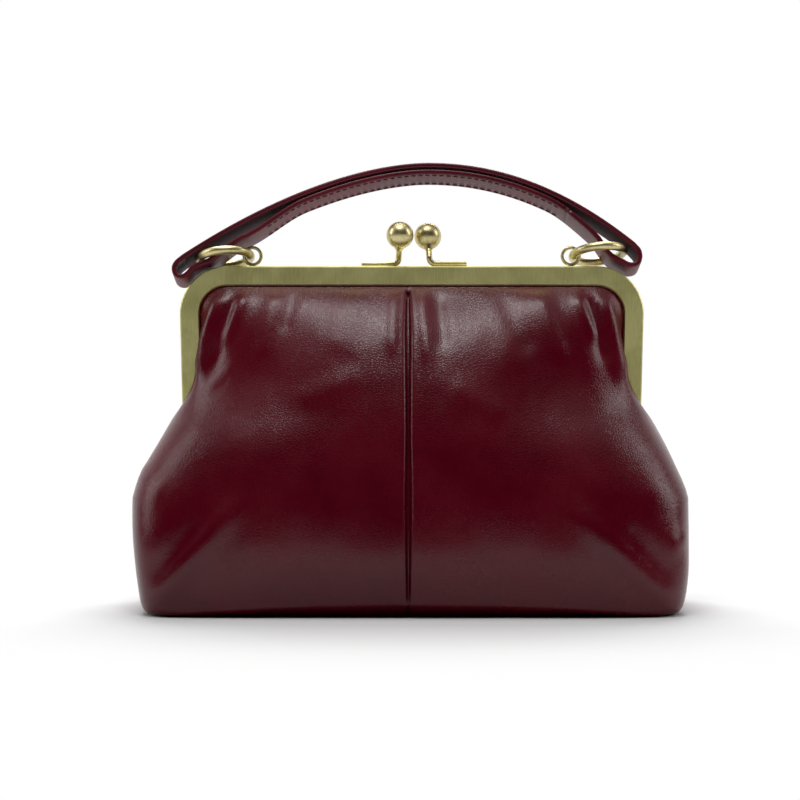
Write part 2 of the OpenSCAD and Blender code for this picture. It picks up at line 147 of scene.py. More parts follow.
def mesh_object(name: str, verts: np.ndarray, faces: Sequence[Sequence[int]], material: Material) -> Object:
    """Makes an object at the origin from points in millimetres.

    Args:
        name: Name of the piece.
        verts: Points, one row each.
        faces: Faces as lists of point numbers.
        material: Material of the whole piece.

    Returns:
        The new object, shaded smooth.
    """
    data = bpy.data.meshes.new(name)
    data.from_pydata([tuple(float(c) * MM for c in v) for v in verts], [], [list(map(int, f)) for f in faces])
    data.materials.append(material)
    data.shade_smooth()
    data.update()
    return new_object(name, data)


def face_outwards(obj: Object) -> None:
    """Merges doubles and points the faces of a closed mesh outwards.

    Args:
        obj: The mesh object to mend.
    """
    bm = bmesh.new()
    bm.from_mesh(obj.data)
    bmesh.ops.remove_doubles(bm, verts=bm.verts, dist=1e-6)
    bmesh.ops.recalc_face_normals(bm, faces=bm.faces)
    bm.to_mesh(obj.data)
    bm.free()


def outward_normals(grid: np.ndarray, sign: int) -> np.ndarray:
    """Unit normals of one side's grid, turned to point outwards.

    Args:
        grid: Points with the shape (rows, columns, 3).
        sign: The sign that y takes outwards.

    Returns:
        Normals of the same shape.
    """
    n = np.cross(np.gradient(grid, axis=1), np.gradient(grid, axis=0))
    n /= np.maximum(np.linalg.norm(n, axis=2, keepdims=True), 1e-9)
    mid = n[grid.shape[0] // 3, grid.shape[1] // 4]
    return -n if mid[1] * sign < 0 else n


def shell_object(name: str, outer: np.ndarray, inner: np.ndarray, material: Material) -> Object:
    """Closes two grids of points into one thin shell.

    Args:
        name: Name of the piece.
        outer: The outer points, shape (rows, columns, 3).
        inner: The inner points, same shape.
        material: Material of the piece.

    Returns:
        The new object, with its faces outwards.
    """
    rows, cols, _ = outer.shape
    n = rows * cols
    faces: list[list[int]] = []
    for j in range(rows - 1):
        for i in range(cols - 1):
            a = j * cols + i
            faces.append([a, a + 1, a + cols + 1, a + cols])
            faces.append([n + a, n + a + cols, n + a + cols + 1, n + a + 1])
    rim = (list(range(cols)) + [j * cols + cols - 1 for j in range(1, rows)]
           + [(rows - 1) * cols + i for i in range(cols - 2, -1, -1)]
           + [j * cols for j in range(rows - 2, 0, -1)])
    for k, a in enumerate(rim):
        b = rim[(k + 1) % len(rim)]
        faces.append([b, a, n + a, n + b])
    obj = mesh_object(name, np.concatenate([outer.reshape(-1, 3), inner.reshape(-1, 3)]), faces, material)
    face_outwards(obj)
    return obj


def resample(points: np.ndarray, fractions: np.ndarray) -> np.ndarray:
    """Points at even or chosen fractions of a line's length.

    Args:
        points: The line's points.
        fractions: Fractions of its length, 0 to 1.

    Returns:
        The points at those fractions.
    """
    step = np.linalg.norm(np.diff(points, axis=0), axis=1)
    at = np.concatenate([[0], np.cumsum(step)])
    return np.stack([np.interp(fractions * at[-1], at, line) for line in points.T], axis=1)


# Finishes.
class Nodes:
    """Builds a node tree with short calls."""

    def __init__(self, tree: NodeTree) -> None:
        """Keeps the tree to add to."""
        self.tree = tree

    def add(self, kind: str, inputs: dict | None = None, **settings: object) -> Node:
        """Adds a node.

        Args:
            kind: The node's type.
            inputs: Values or output sockets for its inputs, by name or number.
            settings: Properties to set on the node.

        Returns:
            The new node.
        """
        node = self.tree.nodes.new(kind)
        for key, value in settings.items():
            setattr(node, key, value)
        for key, value in (inputs or {}).items():
            self.put(node, key, value)
        return node

    def put(self, node: Node, key: str | int, value: object) -> None:
        """Sets or links one input.

        Args:
            node: The node that owns the input.
            key: The input's name or number.
            value: A plain value or an output socket.
        """
        if isinstance(value, NodeSocket):
            self.tree.links.new(value, node.inputs[key])
        else:
            node.inputs[key].default_value = value

    def math(self, operation: str, a: object, b: object = 0.0, clamp: bool = False) -> NodeSocket:
        """Adds a maths node for two values or sockets, and gives its result."""
        return self.add("ShaderNodeMath", {0: a, 1: b}, operation=operation, use_clamp=clamp).outputs[0]

    def vector(self, operation: str, a: object, b: object) -> NodeSocket:
        """Adds a vector maths node for two vectors or sockets, and gives its result."""
        return self.add("ShaderNodeVectorMath", {0: a, 1: b}, operation=operation).outputs[0]

    def place(self) -> NodeSocket:
        """The object's own coordinates."""
        return self.add("ShaderNodeTexCoord").outputs["Object"]

    def bump(self, shader: Node, height: object, strength: float, distance: float) -> None:
        """Gives a shader's surface some relief.

        Args:
            shader: The shader.
            height: The socket that gives the relief.
            strength: Its strength, 0 to 1.
            distance: Its height in metres.
        """
        node = self.add("ShaderNodeBump", {"Height": height, "Strength": strength, "Distance": distance})
        self.put(shader, "Normal", node.outputs[0])

    def ramp(self, value: object, low: float, high: float,
             to_low: float = 0.0, to_high: float = 1.0) -> NodeSocket:
        """Maps one range to another, eased and clamped.

        Args:
            value: The socket to map.
            low: Start of the range.
            high: End of the range.
            to_low: Result at the start.
            to_high: Result at the end.

        Returns:
            The mapped value.
        """
        node = self.add("ShaderNodeMapRange", {0: value, 1: low, 2: high, 3: to_low, 4: to_high},
                        interpolation_type="SMOOTHSTEP")
        return node.outputs[0]

    def mix(self, share: object, a: object, b: object) -> NodeSocket:
        """Mixes two colours.

        Args:
            share: Share of the second colour.
            a: First colour.
            b: Second colour.

        Returns:
            The mixed colour.
        """
        node = self.add("ShaderNodeMix", data_type="RGBA")
        self.put(node, "Factor", share)
        for key, value in ((6, a), (7, b)):
            self.put(node, key, value if isinstance(value, NodeSocket) else (*value, 1.0))
        return node.outputs[2]

    def noise(self, vector: object, scale: object, detail: float = 3.0, roughness: float = 0.5) -> NodeSocket:
        """Adds a noise read at a vector, and gives its value from 0 to 1."""
        return self.add("ShaderNodeTexNoise", {"Vector": vector, "Scale": scale, "Detail": detail,
                                               "Roughness": roughness}).outputs["Fac"]


def new_group(name: str, inputs: Sequence[tuple[str, str, object]], outputs: Sequence[tuple[str, str]],
              kind: str = "ShaderNodeTree") -> tuple[Nodes, Node, Node]:
    """Starts a node group.

    Args:
        name: The group's name.
        inputs: Name, socket type and default of each input.
        outputs: Name and socket type of each output.
        kind: Type of the tree.

    Returns:
        The node builder, the input node and the output node.
    """
    tree = bpy.data.node_groups.new(name, kind)
    for label, socket_type, value in inputs:
        socket = tree.interface.new_socket(label, in_out="INPUT", socket_type=socket_type)
        if value is not None:
            socket.default_value = value
    for label, socket_type in outputs:
        tree.interface.new_socket(label, in_out="OUTPUT", socket_type=socket_type)
    nodes = Nodes(tree)
    return nodes, nodes.add("NodeGroupInput"), nodes.add("NodeGroupOutput")


def grain_group() -> NodeTree:
    """Fine pebbled grain of glossy leather, with soft creases.

    Returns:
        The group, which gives a height and a slow mottling.
    """
    nodes, source, sink = new_group("leather grain", [("Pebble Size", FLOAT, 0.9), ("Crease", FLOAT, 0.5)],
                                    [("Height", FLOAT), ("Mottle", FLOAT)])
    place = nodes.place()
    warp = nodes.add("ShaderNodeTexNoise", {"Vector": place, "Scale": 220.0, "Detail": 2.0}).outputs["Color"]
    warped = nodes.vector("ADD", place, nodes.vector("MULTIPLY", warp, (0.0006, 0.0006, 0.0006)))
    scale = nodes.math("DIVIDE", PER_METRE, source.outputs["Pebble Size"])
    cells = nodes.add("ShaderNodeTexVoronoi", {"Vector": warped, "Scale": scale}, feature="DISTANCE_TO_EDGE")
    pebble = nodes.ramp(cells.outputs["Distance"], 0.0, 0.28)
    pores = nodes.noise(place, 1900.0, 2.0)
    drawn = nodes.vector("MULTIPLY", place, (1.0, 1.0, 0.45))
    crease = nodes.math("MULTIPLY", nodes.noise(drawn, 170.0, 4.0, 0.6), source.outputs["Crease"])
    height = nodes.math("ADD", nodes.math("MULTIPLY", pebble, 0.5), nodes.math("MULTIPLY", pores, 0.25))
    nodes.put(sink, "Height", nodes.math("ADD", height, crease))
    nodes.put(sink, "Mottle", nodes.noise(place, 26.0, 3.0))
    return nodes.tree


def brush_group() -> NodeTree:
    """Brushed lines that run up and down, over a slow tarnish.

    Returns:
        The group, which gives lines and a tarnish mask.
    """
    widths = [("Line Width", FLOAT, 0.25), ("Tarnish Size", FLOAT, 18.0)]
    nodes, source, sink = new_group("brushed lines", widths, [("Lines", FLOAT), ("Tarnish", FLOAT)])
    place = nodes.place()
    flat = nodes.vector("MULTIPLY", place, (1.0, 1.0, 0.035))
    fine, coarse = (nodes.math("DIVIDE", PER_METRE, source.outputs[label]) for label, *_ in widths)
    nodes.put(sink, "Lines", nodes.noise(flat, fine, 3.0, 0.65))
    slow = nodes.noise(place, coarse, 3.0, 0.6)
    nodes.put(sink, "Tarnish", nodes.ramp(slow, 0.4, 0.66))
    return nodes.tree


def weave_group() -> NodeTree:
    """Plain weave of a thin lining.

    Returns:
        The group, which gives the weave's height.
    """
    nodes, source, sink = new_group("plain weave", [("Thread Pitch", FLOAT, 0.5)], [("Height", FLOAT)])
    parts = nodes.add("ShaderNodeSeparateXYZ", {0: nodes.place()})
    step = nodes.math("DIVIDE", PER_METRE * 2 * math.pi, source.outputs["Thread Pitch"])
    along = nodes.math("ADD", parts.outputs[1], parts.outputs[2])
    waves = [nodes.math("SINE", nodes.math("MULTIPLY", p, step)) for p in (parts.outputs[0], along)]
    nodes.put(sink, "Height", nodes.math("MULTIPLY", waves[0], waves[1]))
    return nodes.tree


GRAIN = grain_group()
BRUSH = brush_group()
WEAVE = weave_group()


def start_material(name: str, base: Rgb, rough: float) -> tuple[Material, Nodes, Node]:
    """Starts a material with one Principled shader.

    Args:
        name: Name of the material.
        base: Linear base colour.
        rough: Roughness.

    Returns:
        The material, its node builder and its shader.
    """
    material = bpy.data.materials.new(name)
    material.use_nodes = True
    nodes = Nodes(material.node_tree)
    shader = next(n for n in material.node_tree.nodes if n.type == "BSDF_PRINCIPLED")
    nodes.put(shader, "Base Color", (*base, 1.0))
    nodes.put(shader, "Roughness", rough)
    return material, nodes, shader


@dataclass(frozen=True)
class Finish:
    """What every finish has; each kind adds its own surface."""

    name: str
    base: Rgb
    deep: Rgb
    rough: float = 0.5

    def make(self) -> Material:
        """Builds the material.

        Returns:
            The material.
        """
        material, nodes, shader = start_material(self.name, self.base, self.rough)
        self.surface(nodes, shader)
        return material

    def surface(self, nodes: Nodes, shader: Node) -> None:
        """Builds the surface with the material's node builder and its shader."""
        raise NotImplementedError


@dataclass(frozen=True)
class GlossyLeather(Finish):
    """Glazed burgundy leather with a fine grain."""

    rough: float = 0.24
    gloss: float = 0.38
    pebble: float = 1.1
    bump: float = 0.26
    crease: float = 0.8

    def surface(self, nodes: Nodes, shader: Node) -> None:
        """Builds the grain and mottles colour and shine; arguments as in Finish."""
        grain = nodes.add("ShaderNodeGroup", {"Pebble Size": self.pebble, "Crease": self.crease},
                          node_tree=GRAIN)
        mottle = grain.outputs["Mottle"]
        nodes.put(shader, "Base Color", nodes.mix(nodes.ramp(mottle, 0.3, 0.7), self.deep, self.base))
        nodes.put(shader, "Roughness", nodes.ramp(mottle, 0.25, 0.75, self.rough - 0.05, self.rough + 0.06))
        nodes.put(shader, "Specular IOR Level", self.gloss)
        nodes.bump(shader, grain.outputs["Height"], self.bump, 0.0003)


@dataclass(frozen=True)
class AntiqueBrass(Finish):
    """Darkened brass, brushed or polished."""

    bump: float = 0.25
    line: float = 0.25

    def surface(self, nodes: Nodes, shader: Node) -> None:
        """Builds the brushed lines and the tarnish; arguments as in Finish."""
        brush = nodes.add("ShaderNodeGroup", {"Line Width": self.line}, node_tree=BRUSH)
        lines = brush.outputs["Lines"]
        tone = nodes.math("ADD", nodes.math("MULTIPLY", nodes.ramp(lines, 0.3, 0.7), 0.45),
                          nodes.math("MULTIPLY", brush.outputs["Tarnish"], 0.4))
        nodes.put(shader, "Metallic", 1.0)
        nodes.put(shader, "Base Color", nodes.mix(tone, self.base, self.deep))
        nodes.put(shader, "Roughness", nodes.ramp(lines, 0.25, 0.75, self.rough - 0.06, self.rough + 0.1))
        nodes.bump(shader, lines, self.bump, 0.0001)


@dataclass(frozen=True)
class WovenCloth(Finish):
    """Thin plain-woven lining or thread."""

    rough: float = 0.75
    pitch: float = 0.5

    def surface(self, nodes: Nodes, shader: Node) -> None:
        """Builds the weave; arguments as in Finish."""
        weave = nodes.add("ShaderNodeGroup", {"Thread Pitch": self.pitch}, node_tree=WEAVE)
        height = weave.outputs["Height"]
        nodes.put(shader, "Base Color", nodes.mix(nodes.ramp(height, -1.0, 1.0), self.deep, self.base))
        nodes.put(shader, "Sheen Weight", 0.25)
        nodes.bump(shader, height, 0.35, 0.0002)


@dataclass(frozen=True)
class FibrousStuff(Finish):
    """Paper cord, board and raw leather: matt, with loose fibres."""

    rough: float = 0.9
    fibre: float = 900.0

    def surface(self, nodes: Nodes, shader: Node) -> None:
        """Builds the fibres; arguments as in Finish."""
        fibres = nodes.noise(nodes.place(), self.fibre, 4.0, 0.7)
        nodes.put(shader, "Base Color", nodes.mix(nodes.ramp(fibres, 0.3, 0.7), self.deep, self.base))
        nodes.bump(shader, fibres, 0.5, 0.0003)


class Finishes:
    """Every finish of the purse, built once."""

    def __init__(self) -> None:
        """Builds the materials."""
        self.leather = GlossyLeather("burgundy leather", srgb(88, 1, 21), srgb(78, 0, 17)).make()
        self.strap = GlossyLeather("strap leather", srgb(98, 6, 26), srgb(78, 4, 20), rough=0.4, pebble=0.8,
                                   gloss=0.3, bump=0.35, crease=0.3).make()
        self.edge = GlossyLeather("painted edge", srgb(92, 5, 26), srgb(74, 4, 20), rough=0.32, pebble=1.6,
                                  bump=0.06, crease=0.0).make()
        self.brass = AntiqueBrass("brushed antique brass", srgb(224, 219, 152), srgb(172, 164, 104),
                                  rough=0.38).make()
        self.polished = AntiqueBrass("polished antique brass", srgb(222, 210, 158), srgb(160, 146, 96),
                                     rough=0.34, bump=0.12, line=0.5).make()
        self.lining = WovenCloth("lining", srgb(96, 84, 80), srgb(66, 57, 55)).make()
        self.thread = WovenCloth("thread", srgb(92, 18, 34), srgb(60, 10, 22), rough=0.6, pitch=0.3).make()
        self.underlay = FibrousStuff("matt leather", srgb(64, 48, 52), srgb(44, 32, 36),
                                     rough=0.7, fibre=500.0).make()
        self.raw = FibrousStuff("raw leather edge", srgb(146, 138, 140), srgb(70, 62, 66), fibre=600.0).make()
        # Painted shade: the strap's flesh side is raw leather throughout, and this darker burgundy stands for
        # the shade on it in the right loop and between the runs.
        self.inner = FibrousStuff("inside of the strap in painted shade", srgb(74, 12, 24), srgb(50, 6, 14),
                                  rough=0.75, fibre=700.0).make()
        self.paper = FibrousStuff("paper cord", srgb(196, 176, 140), srgb(150, 130, 98)).make()
        self.board = FibrousStuff("board", srgb(160, 150, 136), srgb(128, 118, 104), fibre=400.0).make()


# The soft body.
@dataclass
class Fold:
    """A crease or ridge, drawn as a line in the front view.

    Attributes:
        a: One end, x and z.
        b: Other end, x and z.
        height: How far it stands out; below 0 it is a valley.
        width: Half its width.
    """

    a: tuple[float, float]
    b: tuple[float, float]
    height: float
    width: float

    def lift(self, x: np.ndarray, z: np.ndarray) -> np.ndarray:
        """How far the fold moves points outwards.

        Args:
            x: Their x.
            z: Their z.

        Returns:
            The move at each point.
        """
        dx, dz = self.b[0] - self.a[0], self.b[1] - self.a[1]
        t = np.clip(((x - self.a[0]) * dx + (z - self.a[1]) * dz) / (dx * dx + dz * dz), 0, 1)
        away = np.hypot(x - self.a[0] - t * dx, z - self.a[1] - t * dz)
        fade = np.clip(np.minimum(t, 1 - t) * 5 + 0.15, 0, 1)
        return self.height * fade * np.exp(-(away / self.width) ** 2)


@dataclass
class PouchForm:
    """Outer form of the leather body, from the table up to the frame's groove.

    The half widths and depths are those at the table, at the belly and at the hinge.
    """

    half_widths: Vec3 = (114.5, 122.0, 107.0)
    half_depths: Vec3 = (44.0, 49.5, 38.0)
    belly_z: float = 50.0
    belly_d_z: float = 30.0
    hinge_z: float = 84.0
    base_square: float = 7.0
    hinge_square: float = 2.6
    frame_half_w: float = 103.2
    frame_top: float = 152.3
    corner_r: float = 21.0
    channel_w: float = 8.7
    arm_toe: float = 1.5
    lip_y: float = 4.4
    arm_from: float = 91.0
    pleat_x: float = -1.7
    pleat_depth: float = 2.7
    pleat_clear: float = 6.6
    lip_r: float = 1.9
    reach: float = 4.2
    arch: tuple[float, ...] = (4.5, 108.0, 30.0, 38.0)
    pleat_gap: tuple[tuple[float, float], ...] = ((0, 0.5), (8, 0.45), (45, 1.15), (55, 1.15), (80, 0.7),
                                                  (112, 1.0), (125, 1.05), (138, 0.5), (150, 0.45))

    def bulge(self, z: float, sizes: Vec3, widest_z: float, powers: tuple[float, float]) -> float:
        """Half a width or depth at a height up to the hinge.

        Args:
            z: The height.
            sizes: The half size at the table, at its widest and at the hinge.
            widest_z: Height where it is widest.
            powers: How round it is below and above that height.

        Returns:
            The half size.
        """
        table, widest, hinge = sizes
        if z < widest_z:
            return table + (widest - table) * math.sin(math.pi / 2 * max(z, 0) / widest_z) ** powers[0]
        return widest - (widest - hinge) * ((z - widest_z) / (self.hinge_z - widest_z)) ** powers[1]

    def outline(self, z: float, inset: float) -> np.ndarray:
        """The front half of the outline at a height, from left to right.

        Args:
            z: The height.
            inset: How far inside the outline.

        Returns:
            Points with x and y, where y is 0 or less.
        """
        a = self.bulge(z, self.half_widths, self.belly_z, (0.4, 1.3)) - inset
        b = self.bulge(z, self.half_depths, self.belly_d_z, (0.6, 1.5)) - inset
        n = self.base_square + (self.hinge_square - self.base_square) * min(z, self.hinge_z) / self.hinge_z
        phi = np.linspace(math.pi, 0, 721)
        c, s = np.cos(phi), np.sin(phi)
        return np.stack([a * np.sign(c) * np.abs(c) ** (2 / n), -b * np.abs(s) ** (2 / n)], axis=1)

    def groove(self, sign: int) -> np.ndarray:
        """Where the leather enters the frame's groove, from an arm's foot to the pleat.

        Args:
            sign: -1 for the left half, 1 for the right.

        Returns:
            Points with x and z.
        """
        r = self.corner_r - self.channel_w
        cx, cz = self.frame_half_w - self.corner_r, self.frame_top - self.corner_r
        toe = math.radians(self.arm_toe)
        arc = [(cx + r * math.cos(t), cz + r * math.sin(t)) for t in np.linspace(-toe, math.pi / 2, 16)]
        foot = (arc[0][0] - (arc[0][1] - self.arm_from) * math.tan(toe), self.arm_from)
        end = (self.reach + sign * self.pleat_x, self.frame_top - self.channel_w)
        return np.array([foot, *arc, end]) * [sign, 1]

    def gap(self, z: float) -> float:
        """Half the pleat's opening at a height."""
        return float(np.interp(z, *zip(*self.pleat_gap)))


@dataclass
class BodySkin:
    """Leather and lining of one side of the body.

    Attributes:
        roll: How far the lowest rows lie inside the outline.
        slack: Width, height and move of slack in the leather; fine is the same for small wrinkles.
        tuck_half_w: Half the width in which the lining keeps clear of the pleat.
        lining_lead: Paired with the lining where the pieces are baked; nothing uses it there.
    """

    side: Side
    form: PouchForm = field(default_factory=PouchForm)
    leather_t: float = 1.2
    lining_t: float = 0.4
    lining_gap: float = 0.45
    tuck_half_w: float = 12.0
    tuck_fade: float = 8.0
    tuck_depth: float = 3.1
    lining_lead: float = 0.7
    corner_share: float = 0.2
    rows_low: tuple[float, ...] = (0.2, 0.9, 2.2, 4, 6.5, *range(10, 79, 4), 81, 84)
    rows_high: int = 30
    base_rows: tuple[float, ...] = (0.0, 0.35, 0.7, 0.9)
    base_z: float = 0.25
    roll: Vec3 = (1.8, 0.8, 0.2)
    lip_turns: tuple[float, ...] = (1.3, 1.0, 0.7, 0.45, 0.25, 0.1, 0.0)
    slack: Vec3 = (34.0, 46.0, 1.4)
    fine: Vec3 = (9.0, 14.0, 0.2)
    groove_z: float = 143.2
    lowest: float = 0.2
    folds: tuple[Fold, ...] = (
        Fold((-116, 1), (-70, 52), 1.5, 5.0), Fold((116, 1), (66, 48), 1.5, 5.0),
        Fold((-112, 16), (-88, 42), -1.0, 4.5), Fold((112, 16), (90, 38), -1.0, 4.5),
        Fold((-98, 77), (-70, 74), 0.5, 1.5), Fold((-95, 74), (-72, 71.5), -0.4, 1.3),
        Fold((-90, 97), (-80, 104), 0.3, 1.2), Fold((-88, 101), (-78, 108), 0.3, 1.2),
        Fold((-84, 143), (-96, 102), 2.4, 3.2), Fold((84, 143), (93, 100), 2.4, 3.2),
        Fold((-80, 139), (-88, 104), -1.3, 3.0), Fold((79, 140), (85, 108), -1.3, 3.0),
        Fold((-73, 141), (-84, 116), 1.3, 2.6), Fold((72, 141), (82, 118), 1.2, 2.6),
        Fold((-60, 142), (-67, 110), 0.8, 4.0), Fold((-52, 141), (-56, 122), -0.6, 3.0),
        Fold((56, 142), (66, 108), 0.9, 4.0), Fold((40, 141), (52, 112), -0.8, 5.0),
        Fold((-7.5, 143), (-9, 112), 0.7, 2.6), Fold((4.5, 143), (6.5, 108), 0.7, 2.6),
        Fold((11, 143), (14, 114), -0.8, 3.2), Fold((-24, 143), (-34, 112), 0.7, 7.0),
        Fold((118, 36), (110, 29), 1.3, 2.4), Fold((-119, 62), (-106, 52), 0.8, 3.0),
        Fold((-20, 104), (-52, 92), 0.5, 5.0), Fold((16, 100), (40, 84), 0.5, 5.0),
    )

    def shares(self) -> np.ndarray:
        """Fractions of the way from the side seam to the pleat, closer at both ends."""
        t = np.linspace(0, 1, 84)
        return t + 0.06 * np.sin(2 * math.pi * t) * (1 - t)

    def cut(self, z: float, inset: float, sign: int) -> np.ndarray:
        """One half of the outline at a height, from the side seam to the pleat's lip.

        Args:
            z: The height.
            inset: How far inside the outline.
            sign: -1 for the left half, 1 for the right.

        Returns:
            Points with x and y.
        """
        line = self.form.outline(z, inset)
        end = self.form.pleat_x + sign * self.form.reach
        kept = line[(line[:, 0] - end) * sign > 0][::-sign]
        return resample(np.concatenate([kept, [[end, float(np.interp(end, *line.T))]]]), self.shares())

    def half_rows(self, sign: int) -> np.ndarray:
        """Points of one half, from its side seam to the pleat's lip.

        Args:
            sign: -1 for the left half, 1 for the right.

        Returns:
            Points with the shape (rows, columns, 3), rows from the base up.
        """
        form, f = self.form, self.shares()
        base = self.cut(0, self.roll[0], sign)
        low = [np.column_stack([base[:, 0] * (0.985 + 0.015 * scale), base[:, 1] * scale,
                                np.full(len(f), self.base_z)]) for scale in self.base_rows]
        low += [np.column_stack([self.cut(z, inset, sign), np.full(len(f), z)])
                for z, inset in zip_longest(self.rows_low, self.roll, fillvalue=0.0)]
        hinge = low[-1]
        slope = (hinge - low[-2]) / (hinge[:, 2:] - low[-2][:, 2:])
        path = form.groove(sign)
        step = np.linalg.norm(np.diff(path, axis=0), axis=1)
        bend = step[:-1].sum() / step.sum()
        along = np.interp(f, [0, self.corner_share, 1], [0, bend, 1])
        edge = resample(path, along)
        top = np.column_stack([edge[:, 0], np.full(len(f), -form.lip_y + 0.3), edge[:, 1]])
        rise = np.maximum(top[:, 2:] - hinge[:, 2:], 9)
        over = np.clip((along[:, None] - bend * 0.55) / (bend * 0.6), 0, 1)
        into = over * np.array([[0, 0.85, 0.75]]) + (1 - over) * np.array([[0.3 * sign, 0.15, 0.75]])
        high = []
        for t in np.linspace(0, 1, self.rows_high + 1)[1:]:
            h00, h10 = 2 * t ** 3 - 3 * t ** 2 + 1, t ** 3 - 2 * t ** 2 + t
            h01, h11 = -2 * t ** 3 + 3 * t ** 2, t ** 3 - t ** 2
            high.append(h00 * hinge + h10 * slope * rise + h01 * top + h11 * into * rise)
        return np.array([*low, *high, top + np.array([0, 0.25, 1.2])])

    def pleat_rows(self, left: np.ndarray, right: np.ndarray) -> np.ndarray:
        """Joins the halves across the pleat, with its rolled lips turned in.

        Args:
            left: Points of the left half.
            right: Points of the right half.

        Returns:
            Points of the whole side, from left to right.
        """
        form, out = self.form, []
        for a, b in zip(left, right):
            z, gap = float(a[-1, 2]), form.gap(float(a[-1, 2]))
            deep = min(form.pleat_depth, max(0.0, abs(a[-1, 1]) - form.pleat_clear)) * smooth((z - 1) / 7)
            middle = []
            for sign in (-1, 1):
                lips = []
                for t in self.lip_turns:
                    drop = form.lip_r * (1 - math.sqrt(max(0.0, 1 - max(0.0, 1 - t) ** 2)))
                    lips.append((form.pleat_x + sign * (gap + form.lip_r * t), min(deep, drop)))
                x = form.pleat_x + sign * gap
                lips += [(x, max(deep * 0.6, lips[-1][1] * min(1.0, deep / form.lip_r))), (x, deep)]
                middle += lips[::-sign]
            line = []
            for x, drop in middle:
                t = (x - a[-1, 0]) / (b[-1, 0] - a[-1, 0])
                spot = a[-1] * (1 - t) + b[-1] * t
                line.append([x, spot[1] + drop, spot[2]])
            out.append(np.concatenate([a, line, b[::-1]]))
        return np.array(out)

    def wrinkles(self, grid: np.ndarray) -> np.ndarray:
        """How far folds and slack move the points outwards.

        Args:
            grid: Points of the whole side.

        Returns:
            The move at each point.
        """
        front = self.side is Side.FRONT
        x, z = grid[..., 0], grid[..., 2]
        move = sum(f.lift(x if front else -x, z) for f in self.folds)
        seed = 3.1 if front else 17.7
        for (wide, tall, high), at in ((self.slack, seed), (self.fine, seed + 5)):
            move += np.vectorize(lambda a, b: noise.noise(Vector((a / wide, b / tall, at))))(x, z) * high
        free = np.clip(z / 10, 0, 1) * np.clip((self.groove_z - z) / 7, 0, 1)
        free *= np.clip(np.abs(x - self.form.pleat_x) / 5, 0.2, 1)
        return move * free * np.clip((np.abs(grid[..., 1]) - self.form.reach) / 5, 0, 1)

    def grid(self, pleated: bool) -> np.ndarray:
        """Outer points of this side's leather.

        Args:
            pleated: Whether the pleat is folded in; the lining runs straight past it.

        Returns:
            Points with the shape (rows, columns, 3).
        """
        arch_h, arch_half_w, arch_z, arch_y = self.form.arch
        left, right = self.half_rows(-1), self.half_rows(1)
        pts = self.pleat_rows(left, right) if pleated else np.concatenate([left, right[:, ::-1]], axis=1)
        x, y, z = (pts[..., k] for k in range(3))
        lift = arch_h * np.clip(1 - (x / arch_half_w) ** 2, 0, 1) * np.clip(1 - z / arch_z, 0, 1)
        pts[..., 2] += lift * np.clip((np.abs(y) - arch_y) / 5, 0, 1)
        pts += outward_normals(pts, Side.FRONT.value) * self.wrinkles(pts)[..., None]
        pts[..., 2] = np.maximum(pts[..., 2], self.lowest)
        return pts if self.side is Side.FRONT else pts[:, ::-1] * [1, -1, 1]

    def build(self, finishes: Finishes) -> list[Object]:
        """Makes the leather and the lining.

        Args:
            finishes: The finishes.

        Returns:
            The leather and the lining.
        """
        label, sign = self.side.label, self.side.value
        outer = self.grid(True)
        inner = outer - outward_normals(outer, sign) * self.leather_t
        leather = shell_object(f"{label}_body_leather", outer, inner, finishes.leather)
        outer = self.grid(False)
        n = outward_normals(outer, sign)
        x, y, z = outer[..., 0], outer[..., 1], outer[..., 2]
        away = np.abs(x + self.form.pleat_x * sign)
        tuck = smooth((self.tuck_half_w + self.tuck_fade - away) / self.tuck_fade)
        room = np.clip(np.abs(y) - self.form.pleat_clear + 0.4, 0, self.tuck_depth)
        shift = np.zeros_like(outer)
        shift[..., 1] = -np.sign(y) * (tuck * np.clip(z / 3, 0, 1) * room)
        start = self.leather_t + self.lining_gap
        first, second = (outer - n * depth + shift for depth in (start, start + self.lining_t))
        lining = shell_object(f"{label}_body_lining", first[:-1], second[:-1], finishes.lining)
        return [leather, lining]


@dataclass
class PleatUnderlay:
    """Strip of matt leather sewn behind the centre pleat."""

    side: Side
    width: float = 22.0
    thick: float = 0.4
    behind: float = 4.0
    rim_y: float = 6.0
    ends: tuple[float, float] = (3.0, 118.0)

    def build(self, skin: BodySkin, finishes: Finishes) -> Object:
        """Makes the strip.

        Args:
            skin: The leather that it is sewn to.
            finishes: The finishes.

        Returns:
            The strip.
        """
        middle = (skin.half_rows(-1)[:, -1] + skin.half_rows(1)[:, -1]) / 2
        across = skin.form.pleat_x + np.linspace(-1, 1, 13) * self.width / 2
        grid = np.array([[[x, y + min(self.behind, abs(y) - self.rim_y), z] for x in across]
                         for _, y, z in middle if self.ends[0] <= z <= self.ends[1]])
        inner = grid + np.array([0, self.thick, 0])
        flip = [1, -self.side.value, 1]
        return shell_object(f"{self.side.label}_pleat_strip", grid * flip, inner * flip, finishes.underlay)


